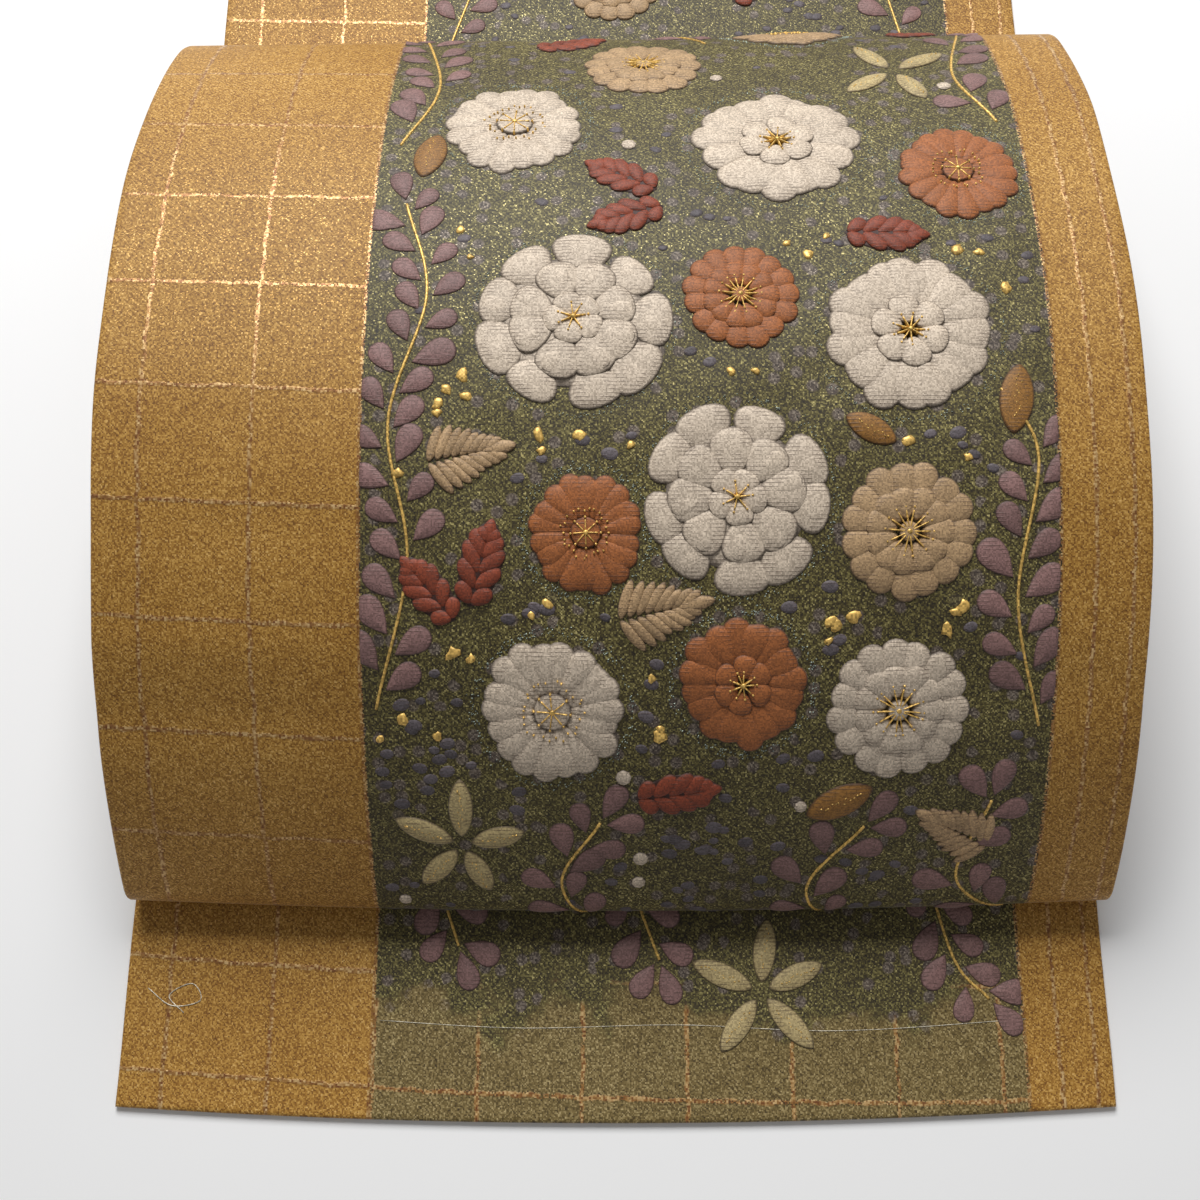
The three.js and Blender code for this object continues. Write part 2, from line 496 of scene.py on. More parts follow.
def pebbled(sh, green, grain, place):
    """Small soft spots of mauve-brown woven into the dark ground."""
    pebbles = sh.node("TexVoronoi", {"Vector": place}, voronoi_dimensions="2D")
    pebbles.inputs["Scale"].default_value = 0.17
    chosen = sh.step(sh.node("SeparateXYZ", {0: pebbles.outputs["Color"]}).outputs[0], 0.6, 0.62)
    blob = sh.mul(sh.step(pebbles.outputs["Distance"], 0.38, 0.24), chosen)
    pebble_colour = sh.tones(grain, [
        (0.0, (38, 28, 24)), (0.5, (98, 84, 78)), (1.0, (160, 146, 142)),
    ])
    return sh.mix(sh.mul(blob, 0.75), green, pebble_colour)


def figured_cloth():
    """Gold strips with their check, the dark green panel, and the olive end of the panel."""
    sh = Shader("figured_cloth", Roughness=0.6, Sheen_Weight=0.15, Sheen_Roughness=0.4)
    u, s = sh.cloth_place()
    place = sh.pair(u, s)
    cell, diagonal = sh.cells(u, s, THREAD)
    cell_2 = sh.white(sh.pair(sh.math("FLOOR", sh.mul(u, 1.6)), sh.math("FLOOR", sh.mul(s, 1.6))))
    shaded_pit = sh.step(diagonal, 0.3, 0.1)
    broad = sh.noise(place, 0.02, 3.0)
    soft = sh.noise(place, 0.16, 2.0)
    grain = sh.add(sh.mul(cell, 0.62), sh.mul(cell_2, 0.26))
    grain = sh.add(grain, sh.mul(sh.sub(broad, 0.5), 0.22))
    # The twill's pits are darkened here: painted shade in the weave's grooves, which the bump also sinks.
    grain = sh.add(sh.sub(grain, sh.mul(shaded_pit, 0.14)), 0.09)

    gold, green, olive = ground_tones(sh, grain)
    green = pebbled(sh, green, grain, place)
    cloud = sh.noise(place, 0.045, 3.0, 0.6)
    depth = sh.add(s, sh.add(sh.mul(cloud, 62.0), sh.mul(cell, 5.0)))
    olive_share = sh.step(depth, 72.0, 60.0)
    panel = sh.mix(olive_share, green, olive)

    ragged = sh.add(u, sh.mul(sh.sub(cell, 0.5), 0.7))
    in_panel = sh.mul(sh.step(ragged, PANEL_LEFT - 0.2, PANEL_LEFT + 0.2),
                      sh.step(ragged, PANEL_RIGHT + 0.2, PANEL_RIGHT - 0.2))
    base = sh.mix(in_panel, gold, panel)

    wander = sh.mul(sh.sub(soft, 0.5), 1.8)
    leaning = sh.add(sh.add(s, sh.mul(u, CHECK_LEAN)), wander)
    tail_offset = (CHECK_START - TAIL_CHECK_START) % CHECK_S
    leaning = sh.add(leaning, sh.mul(sh.step(s, MARK["tuck"] + 1, MARK["tuck"] - 1), tail_offset))
    warped = sh.add(u, wander)
    breaks = sh.noise(place, 0.11, 3.0, 0.7)
    weft = line_mask(sh, nearest_line(sh, leaning, CHECK_START, CHECK_S), cell, breaks, 1.15)
    warp = line_mask(sh, nearest_line(sh, warped, CHECK_U_START, CHECK_U), cell, breaks, 1.15)
    right_1 = sh.math("ABSOLUTE", sh.sub(warped, RIGHT_LINES[0]))
    right_2 = sh.math("ABSOLUTE", sh.sub(warped, RIGHT_LINES[1]))
    right_lines = line_mask(sh, sh.math("MINIMUM", right_1, right_2), cell, breaks, 1.1)
    edge = sh.math("MINIMUM", sh.math("ABSOLUTE", sh.sub(u, PANEL_LEFT)),
                   sh.math("ABSOLUTE", sh.sub(u, PANEL_RIGHT)))
    edge_line = sh.mul(sh.step(edge, 0.85, 0.3), sh.step(cell, 0.3, 0.45))
    left_side = sh.step(u, PANEL_LEFT + 0.3, PANEL_LEFT - 0.3)
    right_side = sh.step(u, PANEL_RIGHT - 0.3, PANEL_RIGHT + 0.3)
    checked = sh.math("MAXIMUM", left_side, sh.mul(in_panel, olive_share))
    check = sh.mul(sh.math("MAXIMUM", weft, warp), checked)
    lines = sh.math("MAXIMUM", check, sh.math("MAXIMUM", sh.mul(right_lines, right_side), edge_line))
    bright = sh.tones(cell_2, [
        (0.0, (128, 78, 44)), (0.5, (176, 130, 72)), (1.0, (232, 196, 138)),
    ])
    base = sh.mix(lines, base, bright)
    sh.colour(base)

    sparkle = sh.step(cell, 0.93, 0.97)
    shine = sh.math("MAXIMUM", sh.mul(lines, 0.8), sh.mul(sparkle, 0.6))
    sh.roughness(sh.sub(0.62, sh.mul(shine, 0.27)))
    sh.put(sh.bsdf, "Metallic", sh.mul(shine, 0.5))
    sh.bump(sh.add(sh.sub(cell, sh.mul(shaded_pit, 0.8)), sh.mul(lines, 1.2)), 0.12, 0.55)
    return sh.material


def plain_back():
    """The reverse: plain gold silk in a fine twill."""
    sh = Shader("plain_back", Roughness=0.7, Sheen_Weight=0.15, Sheen_Roughness=0.5)
    u, s = sh.cloth_place()
    cell, diagonal = sh.cells(u, s, THREAD)
    # The twill's pits: sunk in the bump and darkened in colour as painted shade.
    shaded_pit = sh.step(diagonal, 0.3, 0.1)
    grain = sh.sub(sh.add(sh.mul(cell, 0.7), 0.15), sh.mul(shaded_pit, 0.15))
    sh.colour(sh.tones(grain, [
        (0.0, (92, 62, 18)), (0.5, (146, 108, 52)), (1.0, (190, 150, 88)),
    ]))
    sh.bump(sh.sub(cell, shaded_pit), 0.1, 0.5)
    return sh.material


# ---- materials of the raised work
def raised_silk():
    """Dyed silk over padding: fine ribs on its slopes, with dark lines between them that are partly woven
    hatching and partly painted shade in their grooves, and a dark line at its rim that is partly its dark
    outline thread and partly painted shade where it meets the ground and its neighbours.
    """
    sh = Shader("raised_silk", Roughness=0.62, Sheen_Weight=0.2, Sheen_Roughness=0.4)
    u, s = sh.cloth_place()
    cell = sh.cells(u, s, THREAD)[0]
    rim = sh.attribute("rim")
    dye = sh.attribute("dye", "Color")
    grain = sh.ramp(cell, [(0.0, (0.62, 0.6, 0.58, 1.0)), (1.0, (1.2, 1.2, 1.2, 1.0))])
    base = sh.mix(1.0, dye, grain, "MULTIPLY")
    rib = sh.step(sh.math("FRACT", sh.math("DIVIDE", s, 1.15)), 0.42, 0.2)
    patchy = sh.step(sh.noise(sh.pair(u, s), 0.2, 2.0), 0.4, 0.56)
    # Dark lines between the ribs: partly woven hatching, partly painted shade in the grooves, which the
    # bump also sinks.
    rib_hatch_and_shade = sh.mul(sh.mul(rib, sh.step(rim, 0.3, 0.62)), patchy)
    base = sh.mix(sh.mul(rib_hatch_and_shade, 0.5), base, srgb(72, 50, 40))
    # Darker towards the rim of each piece: partly its dark outline thread, partly painted shade in the
    # valleys where pieces meet the ground and each other.
    sh.colour(sh.mix(sh.mul(sh.step(rim, 0.84, 0.99), 0.8), base, srgb(46, 30, 22)))
    sh.bump(sh.sub(sh.mul(cell, 0.5), rib_hatch_and_shade), 0.14, 0.6)
    return sh.material


def metal_thread():
    """Gold-wrapped thread, glittering unevenly."""
    sh = Shader("metal_thread", Roughness=0.42, Metallic=0.35)
    u, s = sh.cloth_place()
    cell = sh.cells(u, s, METAL_THREAD)[0]
    dye = sh.attribute("dye", "Color")
    grain = sh.ramp(cell, [(0.0, (0.5, 0.48, 0.42, 1.0)), (1.0, (1.35, 1.3, 1.2, 1.0))])
    sh.colour(sh.mix(1.0, dye, grain, "MULTIPLY"))
    sh.bump(cell, 0.12, 0.6)
    return sh.material


# ---- raised work
class Relief:
    """Raised pieces of one kind on one stretch, gathered here and made into one mesh."""

    def __init__(self):
        self.places = []
        self.faces = []
        self.dyes = []
        self.rims = []
        self.count = 0

    def add(self, places, faces, dye, rim):
        self.places.append(np.asarray(places, float))
        self.faces += [tuple(self.count + i for i in face) for face in faces]
        self.dyes.append(np.tile(dye[:3], (len(places), 1)))
        self.rims.append(rim)
        self.count += len(places)


def turned(outline, u, s, angle):
    """Points of a flat outline, turned by angle degrees and moved to (u, s)."""
    a = math.radians(angle)
    x, y = outline[:, 0], outline[:, 1]
    return np.stack([u + x * math.cos(a) - y * math.sin(a), s + x * math.sin(a) + y * math.cos(a)], -1)


DOME_RINGS = (1.0, 0.965, 0.86, 0.62, 0.32)
SUNK = 0.3


def dome(relief, outline, height, dye, lift=0.0, pivot=None, fullness=2.4, rings=DOME_RINGS):
    """A closed pillow over an outline: steep at its rim, and sunk a little into the cloth."""
    count = len(outline)
    pivot = outline.mean(0) if pivot is None else np.asarray(pivot)
    places, rim = [], []
    for r in rings:
        ring = pivot + (outline - pivot) * r
        tall = lift + height * (1 - r**fullness) ** 0.6 if r < 1 else -SUNK
        places += [(u, s, tall) for u, s in ring]
        rim += [r] * count
    places.append((pivot[0], pivot[1], lift + height))
    places.append((pivot[0], pivot[1], -1.5 * SUNK))
    rim += [0.0, 1.0]
    top, bottom = len(rings) * count, len(rings) * count + 1
    faces = []
    for j in range(count):
        k = (j + 1) % count
        for i in range(len(rings) - 1):
            faces.append((i * count + j, i * count + k, (i + 1) * count + k, (i + 1) * count + j))
        faces.append(((len(rings) - 1) * count + j, (len(rings) - 1) * count + k, top))
        faces.append((k, j, bottom))
    relief.add(places, faces, dye, np.array(rim))


def cord(relief, line, width, height, dye, lift=0.0, bead=2.2):
    """A raised thread along a line of (u, s) points, swelling like a row of stitches."""
    line = np.asarray(line, float)
    step = np.gradient(line, axis=0)
    step /= np.maximum(np.linalg.norm(step, axis=1, keepdims=True), 1e-9)
    side = np.stack([-step[:, 1], step[:, 0]], -1)
    travelled = np.concatenate([[0], np.cumsum(np.linalg.norm(np.diff(line, axis=0), axis=1))])
    swollen = 0.72 + 0.28 * np.abs(np.sin(travelled * math.pi / bead))
    shape = [(-0.5, None), (-0.38, 0.7), (0.0, 1.0), (0.38, 0.7), (0.5, None)]
    places = []
    for (u, s), (nu, ns), full in zip(line, side, swollen):
        for across, share in shape[::-1]:
            tall = -SUNK if share is None else lift + height * share * full
            places.append((u + nu * across * width * full, s + ns * across * width * full, tall))
    size = len(shape)
    faces = ring_faces(len(line), size)
    last = (len(line) - 1) * size
    faces.append(tuple(range(size))[::-1])
    faces.append(tuple(last + j for j in range(size)))
    relief.add(places, faces, dye, np.full(len(places), 0.4))


def curve(points, step=1.1):
    """A smooth line through a few chosen points, cut into even steps."""
    p = np.asarray(points, float)
    p = np.vstack([2 * p[0] - p[1], p, 2 * p[-1] - p[-2]])
    found = []
    for a, b, c, d in zip(p[:-3], p[1:-2], p[2:-1], p[3:]):
        n = max(2, int(np.linalg.norm(c - b) / step))
        t = np.linspace(0, 1, n, endpoint=False)[:, None]
        found.append(0.5 * (2 * b + (c - a) * t + (2 * a - 5 * b + 4 * c - d) * t**2
                            + (3 * b - a - 3 * c + d) * t**3))
    found.append(p[-2][None, :])
    return np.vstack(found)


# Outlines: each starts at its base, (0, 0), and points along +x
def petal(length, width, count=20, bulge=0.3):
    a = np.linspace(0, 2 * math.pi, count, endpoint=False)
    return np.stack([length / 2 * (1 - np.cos(a)), width / 2 * np.sin(a) * (1 - bulge * np.cos(a))], -1)


def lens(length, width, count=22, point=1.35):
    a = np.linspace(0, 2 * math.pi, count, endpoint=False)
    y = np.sign(np.sin(a)) * np.abs(np.sin(a)) ** point
    return np.stack([length / 2 * (1 - np.cos(a)), width / 2 * y], -1)


def drop(length, width, count=20):
    a = np.linspace(0, 2 * math.pi, count, endpoint=False)
    return np.stack([length / 2 * (1 - np.cos(a)), 0.62 * width * np.sin(a) * np.sin(a / 2) ** 1.1], -1)


def grown(outline, by):
    """The outline moved outward by a distance."""
    step = np.roll(outline, -1, 0) - np.roll(outline, 1, 0)
    normal = np.stack([step[:, 1], -step[:, 0]], -1)
    return outline + by * normal / np.maximum(np.linalg.norm(normal, axis=1, keepdims=True), 1e-9)


def along(u, s, angle, distance):
    a = math.radians(angle)
    return u + distance * math.cos(a), s + distance * math.sin(a)


def shade(dye, amount):
    return tuple(min(1.0, c * amount) for c in dye[:3])


# Dyes of the silk
WHITE = srgb(214, 197, 176)
BEIGE = srgb(184, 152, 112)
RUST = srgb(166, 98, 48)
RED = srgb(140, 62, 34)
OCHRE = srgb(152, 106, 44)
PALE = srgb(192, 172, 122)
MAUVE = srgb(138, 104, 100)
SLATE = srgb(96, 88, 92)
MAROON = srgb(64, 30, 20)
GOLD = srgb(236, 196, 112)
FROST = srgb(150, 164, 160)
THREAD_DYE = srgb(226, 222, 210)

# The kinds of raised work, with the finish that each takes
KIND_SLOTS = {
    "white": "blossom_silk", "beige": "blossom_silk", "rust": "blossom_silk",
    "leaves": "leaf_silk", "outlines": "leaf_silk", "mauve": "leaf_silk",
    "gold": "metal_thread", "flecks": "metal_thread",
}


class Stretch:
    """The raised work on one stretch: one Relief for each kind of piece."""

    def __init__(self):
        self.kinds = {kind: Relief() for kind in KIND_SLOTS}
        self.taken = []

    def __getitem__(self, kind):
        return self.kinds[kind]

    def claim(self, u, s, radius):
        self.taken.append((u, s, radius))

    def free(self, u, s, radius):
        return all((u - a) ** 2 + (s - b) ** 2 > (radius + r) ** 2 for a, b, r in self.taken)


def finger_petal(relief, u, s, angle, start, reach, width, dye, rng, fingers=3, height=1.5):
    """A pleated petal: a few long fingers fanned side by side, the middle one longest."""
    spread = math.degrees(width / reach) * 0.62
    for j in np.argsort(-np.abs(np.linspace(-1, 1, fingers))):
        place = np.linspace(-1, 1, fingers)[j]
        bearing = angle + place * spread + rng.uniform(-2, 2)
        length = (reach - start) * (1 - 0.1 * place**2 + rng.uniform(-0.05, 0.03))
        lay_petal(relief, along(u, s, bearing, start), bearing, length, width / fingers * 1.75, 0.42,
                  height * rng.uniform(0.85, 1.1), shade(dye, rng.uniform(0.94, 1.06)), 0.0, 0.58)


def lay_petal(relief, spot, bearing, length, wide, bulge, height, dye, lift, peak):
    """A petal from spot along bearing, highest at the share peak of its length."""
    outline = turned(petal(length, wide, bulge=bulge), *spot, bearing)
    dome(relief, outline, height, dye, lift, pivot=along(*spot, bearing, length * peak))


def gold_heart(stretch, u, s, radius, lift, rng, rays=9):
    """A star of gold stitches with a knot of beads."""
    gold = stretch["gold"]
    for i in range(rays):
        bearing = 360 * i / rays + rng.uniform(-8, 8)
        line = [along(u, s, bearing, radius * 0.15), along(u, s, bearing, radius)]
        cord(gold, curve(line, 0.6), 0.5, 0.35, GOLD, lift, bead=0.9)
        end = along(u, s, bearing, radius * 1.08)
        dome(gold, turned(petal(0.95, 0.9, 8), *end, bearing), 0.4, GOLD, lift, rings=(1.0, 0.7))
    dome(gold, turned(petal(2.0, 1.8, 10), u - 1.0, s, 0), 0.6, GOLD, lift, rings=(1.0, 0.8, 0.4))


def halo(stretch, u, s, radius, rng, count=230):
    """Cool metallic flecks scattered round a blossom."""
    for _ in range(count):
        bearing = rng.uniform(0, 360)
        distance = radius * rng.uniform(0.97, 1.0) + abs(rng.gauss(0.9, 1.0))
        fu, fs = along(u, s, bearing, distance)
        tone = shade(FROST, rng.uniform(0.5, 1.7))
        dome(stretch["flecks"], turned(petal(0.8, 0.45, 6), fu, fs, rng.choice((45, 50, 225, 0))), 0.16,
             tone, 0.06, rings=(1.0, 0.5))


def layered_blossom(stretch, kind, u, s, radius, turn, dye, rng):
    relief = stretch[kind]
    outer = 8
    for i in range(outer):
        bearing = turn + 360 * i / outer + rng.uniform(-4, 4)
        reach = radius * rng.uniform(0.9, 1.02)
        wide = 2 * math.pi * radius / outer * 0.9
        finger_petal(relief, u, s, bearing, radius * 0.26, reach, wide, dye, rng)
    inner = 6
    for i in range(inner):
        bearing = turn + 20 + 360 * i / inner + rng.uniform(-5, 5)
        length = radius * 0.36
        lay_petal(relief, along(u, s, bearing, radius * 0.08), bearing, length, length * 0.95, 0.3,
                  1.0, shade(dye, rng.uniform(1.0, 1.08)), 1.0, 0.55)
    gold_heart(stretch, u, s, radius * 0.16, 1.75, rng)
    halo(stretch, u, s, radius, rng)
    stretch.claim(u, s, radius + 2)


def frilled_blossom(stretch, kind, u, s, radius, turn, dye, rng):
    """Cupped round petals in three uneven rings."""
    relief = stretch[kind]
    base_disc = turned(petal(radius * 1.5, radius * 1.5, 28, 0.0), u - radius * 0.75, s, 0)
    dome(relief, base_disc, 0.9, shade(dye, 0.9))
    rings = [(9, 0.5, 0.5, 0.0, 1.3), (8, 0.2, 0.5, 0.75, 1.1), (5, 0.02, 0.3, 1.15, 0.9)]
    for number, (count, start, share, lift, height) in enumerate(rings):
        for i in range(count):
            bearing = turn + 17 * number + 360 * i / count + rng.uniform(-6, 6)
            length = radius * share * rng.uniform(0.9, 1.08)
            base = along(u, s, bearing, radius * start)
            wide = min(length * 1.15, 2 * math.pi * radius * (start + share * 0.6) / count * 1.15)
            lay_petal(relief, base, bearing, length, wide, 0.35,
                      height, shade(dye, rng.uniform(0.94, 1.06)), lift, 0.6)
            if number < 2:
                split = bearing + rng.choice((-1, 1)) * 14
                lobe = turned(petal(length * 0.7, wide * 0.5), *along(*base, bearing, length * 0.25), split)
                dome(relief, lobe, height * 0.8, shade(dye, rng.uniform(1.0, 1.08)), lift + 0.35)
    gold_heart(stretch, u, s, radius * 0.13, 1.95, rng, 7)
    halo(stretch, u, s, radius, rng)
    stretch.claim(u, s, radius + 2)


def daisy_blossom(stretch, kind, u, s, radius, turn, dye, rng):
    """Two rings of narrow petals round a ring of gold stamens."""
    relief = stretch[kind]
    for count, start, end, lift in ((15, 0.3, 1.0, 0.0), (11, 0.16, 0.66, 0.6)):
        for i in range(count):
            bearing = turn + 360 * i / count + rng.uniform(-3, 3)
            length = radius * (end - start) * rng.uniform(0.92, 1.03)
            wide = 2 * math.pi * radius * end / count * 0.98
            lay_petal(relief, along(u, s, bearing, radius * start), bearing, length, wide, 0.45,
                      1.15, shade(dye, rng.uniform(0.92, 1.07)), lift, 0.62)
    dome(relief, turned(petal(radius * 0.3, radius * 0.3, 16, 0.0), u - radius * 0.15, s, 0), 0.7, dye, 1.0)
    gold_heart(stretch, u, s, radius * 0.3, 1.35, rng, 14)
    stretch.claim(u, s, radius + 2)


def plum_blossom(stretch, kind, u, s, radius, turn, dye, rng):
    """Six broad petals, each in four soft pleats, round a ring of gold dots."""
    relief = stretch[kind]
    for i in range(6):
        bearing = turn + 60 * i + rng.uniform(-3, 3)
        reach = radius * rng.uniform(0.93, 1.02)
        wide = 2 * math.pi * radius / 6 * 0.86
        finger_petal(relief, u, s, bearing, radius * 0.2, reach, wide, dye, rng, 4, 1.4)
    dome(relief, turned(petal(radius * 0.5, radius * 0.5, 18, 0.0), u - radius * 0.25, s, 0), 0.5,
         shade(dye, 0.95), 1.0)
    gold = stretch["gold"]
    for i in range(26):
        bearing = 360 * i / 26 + rng.uniform(-5, 5)
        spot = along(u, s, bearing, radius * rng.uniform(0.3, 0.4))
        dome(gold, turned(petal(1.0, 0.7, 8), *spot, bearing), 0.45, GOLD, 1.15, rings=(1.0, 0.7))
    gold_heart(stretch, u, s, radius * 0.2, 1.4, rng, 8)
    halo(stretch, u, s, radius, rng)
    stretch.claim(u, s, radius + 2)


def veined_leaf(stretch, u, s, angle, length, width, dye, rng, lobes=5):
    """A leaf puffed between its veins, with a toothed edge and a dark outline."""
    relief = stretch["leaves"]
    under = grown(lens(length * 1.04, width * 0.92), 0.3)
    dome(stretch["outlines"], turned(under, u, s, angle), 0.5, MAROON)
    for side in (-1, 1):
        for i in range(lobes):
            share = (i + 0.35) / lobes
            envelope = math.sin(math.pi * min(0.97, share * 0.86 + 0.14)) ** 0.8
            bearing = angle + side * (44 - 22 * share)
            base = along(u, s, angle, length * share * 0.86)
            reach = width * 0.62 * envelope * rng.uniform(0.92, 1.05) + 1.5
            outline = turned(petal(reach, length / lobes * 0.98, 18, 0.25), *base, bearing)
            dome(relief, outline, 1.05, shade(dye, rng.uniform(0.88, 1.12)), 0.1,
                 pivot=along(*base, bearing, reach * 0.5))
    tip = along(u, s, angle, length * 0.74)
    dome(relief, turned(lens(length * 0.3, width * 0.3, 16), *tip, angle), 1.0, shade(dye, 1.05), 0.15)
    middle = along(u, s, angle, length / 2)
    stretch.claim(*middle, length * 0.42)


def plain_leaf(stretch, u, s, angle, length, width, dye, rng):
    """A smooth pointed leaf with a dark outline and a row of seeds along its middle."""
    outline = lens(length, width, 26)
    dome(stretch["outlines"], turned(grown(outline, 1.0), u, s, angle), 0.4, MAROON,
         rings=(1.0, 0.93, 0.6))
    dome(stretch["leaves"], turned(outline, u, s, angle), 1.15, shade(dye, rng.uniform(0.94, 1.06)),
         fullness=2.0)
    gold = stretch["gold"]
    for i in range(int(length / 1.7)):
        share = 0.18 + 0.64 * (i + rng.uniform(0.2, 0.8)) / int(length / 1.7)
        spot = along(u, s, angle, length * share)
        off = rng.uniform(-0.09, 0.09) * width
        a = math.radians(angle + 90)
        spot = (spot[0] + off * math.cos(a), spot[1] + off * math.sin(a))
        dome(gold, turned(petal(1.1, 0.5, 6), *spot, angle + rng.uniform(-20, 20)), 0.2, GOLD,
             0.98, rings=(1.0, 0.6))
    stretch.claim(*along(u, s, angle, length / 2), length * 0.4)


def sprig(stretch, u, s, turn, rng, dye=PALE, leaves=4, length=23.0):
    """Four or five pale leaves round one point."""
    for i in range(leaves):
        bearing = turn + 360 * i / leaves + rng.uniform(-9, 9)
        base = along(u, s, bearing, 2.6)
        plain_leaf(stretch, *base, bearing, length * rng.uniform(0.88, 1.08), 7.6, dye, rng)


def spray(stretch, points, rng, dye=MAUVE, size=13.0, pitch=11.0):
    """Drop-shaped leaves in pairs along a gold stem."""
    line = curve(points, 0.9)
    cord(stretch["gold"], line, 1.1, 0.5, GOLD, bead=1.6)
    travelled = np.concatenate([[0], np.cumsum(np.linalg.norm(np.diff(line, axis=0), axis=1))])
    places = np.arange(pitch * 0.4, travelled[-1], pitch / 2)
    for number, place in enumerate(places):
        i = min(len(line) - 2, int(np.searchsorted(travelled, place)))
        step = line[i + 1] - line[i]
        heading = math.degrees(math.atan2(step[1], step[0]))
        side = 1 if number % 2 else -1
        bearing = heading + side * rng.uniform(38, 58)
        base = along(*line[i], bearing, 2.2)
        length = size * rng.uniform(0.82, 1.15)
        mauve_leaf(stretch, *base, bearing, length, length * 0.66, dye, rng)
    end = line[-1] - line[-2]
    heading = math.degrees(math.atan2(end[1], end[0]))
    mauve_leaf(stretch, *along(*line[-1], heading, 1.5), heading, size, size * 0.62, dye, rng)


def mauve_leaf(stretch, u, s, angle, length, width, dye, rng):
    middle = along(u, s, angle, length * 0.55)
    if not stretch.free(*middle, length * 0.22):
        return
    outline = turned(drop(length, width), u, s, angle)
    dome(stretch["mauve"], outline, 0.8, shade(dye, rng.uniform(0.85, 1.15)), pivot=middle, fullness=1.7)
    stretch.claim(*middle, length * 0.36)


def frond(stretch, u, s, angle, length, dye, rng, pairs=8):
    """A feathery leaf: curved narrow leaflets in pairs, shorter towards the tip."""
    for i in range(pairs):
        share = i / pairs
        for side in (-1, 1):
            bearing = angle + side * (62 - 42 * share)
            base = along(u, s, angle, length * 0.72 * share)
            reach = length * 0.46 * (1 - 0.45 * share) * rng.uniform(0.9, 1.06)
            outline = turned(lens(reach, 3.6, 16, 1.1), *base, bearing)
            dome(stretch["beige"], outline, 0.95, shade(dye, rng.uniform(0.84, 1.1)), 0.08 * (i % 2))
    tip = along(u, s, angle, length * 0.6)
    dome(stretch["beige"], turned(lens(length * 0.42, 4.4, 16, 1.1), *tip, angle), 1.05, dye, 0.1)
    stretch.claim(*along(u, s, angle, length * 0.5), length * 0.42)


def dot(stretch, u, s, size, rng):
    outline = petal(size, size, 8, 0.0)
    dome(stretch["white"], turned(outline, u - size / 2, s, rng.uniform(0, 20)), 0.7, WHITE)
    stretch.claim(u, s, size * 0.7)


def nugget(stretch, u, s, size, rng):
    """A small uneven patch of gold thread."""
    count = 9
    a = np.linspace(0, 2 * math.pi, count, endpoint=False)
    r = np.array([size / 2 * rng.uniform(0.55, 1.15) for _ in range(count)])
    outline = np.stack([r * np.cos(a) * 0.8, r * np.sin(a)], -1)
    outline = turned(outline, u, s, rng.uniform(0, 360))
    dome(stretch["gold"], outline, 0.55, shade(GOLD, rng.uniform(0.8, 1.15)), rings=(1.0, 0.75, 0.4))


def pebble(stretch, u, s, size, rng, dye=SLATE):
    """A small flat oval woven into the ground."""
    outline = turned(petal(size, size * 0.72, 12, 0.1), u - size / 2, s, rng.uniform(-25, 25))
    dome(stretch["mauve"], outline, 0.22, shade(dye, rng.uniform(0.75, 1.2)), rings=(1.0, 0.85, 0.4))



# ---- camera, light and floor
def camera():
    """Above and in front, tilted 18 degrees from straight down, at the picture's framing."""
    data = bpy.data.cameras.new("camera")
    data.lens = 45.0
    data.sensor_width = 36.0
    data.shift_x = -0.0167
    made = bpy.data.objects.new("camera", data)
    made.location = (0.0, -373.2 * MM, 491.3 * MM)
    made.rotation_euler = (math.radians(18.16), 0.0, 0.0)
    bpy.context.scene.collection.objects.link(made)
    bpy.context.scene.camera = made


def area_light(name, location, target, size, power, colour=(1.0, 1.0, 1.0)):
    data = bpy.data.lights.new(name, "AREA")
    data.shape = "SQUARE"
    data.size = size
    data.energy = power
    data.color = colour
    made = bpy.data.objects.new(name, data)
    made.location = location
    aim = np.array(target) - np.array(location)
    made.rotation_euler = Vector(aim).to_track_quat("-Z", "Y").to_euler()
    bpy.context.scene.collection.objects.link(made)


def studio():
    world = bpy.data.worlds.new("studio")
    world.use_nodes = True
    world.node_tree.nodes["Background"].inputs[0].default_value = (1.0, 1.0, 1.0, 1.0)
    world.node_tree.nodes["Background"].inputs[1].default_value = 0.17
    bpy.context.scene.world = world
    bpy.context.scene.view_settings.view_transform = "Standard"
    area_light("key", (-0.15, 0.88, 1.1), (0.0, -0.12, 0.0), 0.8, 27.0)
    area_light("fill", (0.3, -1.3, 1.3), (0.0, -0.2, 0.0), 1.2, 1.8)

    sh = Shader("floor", Roughness=0.9)
    place = sh.node("TexCoord").outputs["Object"]
    sh.colour(sh.tones(sh.noise(place, 2.0), [(0.0, (246, 246, 246)), (1.0, (252, 252, 252))]))
    side = 3000.0
    corners = [(-side, -side, -0.2), (side, -side, -0.2), (side, side, -0.2), (-side, side, -0.2)]
    floor = make_mesh("floor", corners, [(0, 1, 2, 3)], sh.material, smooth_on=False)


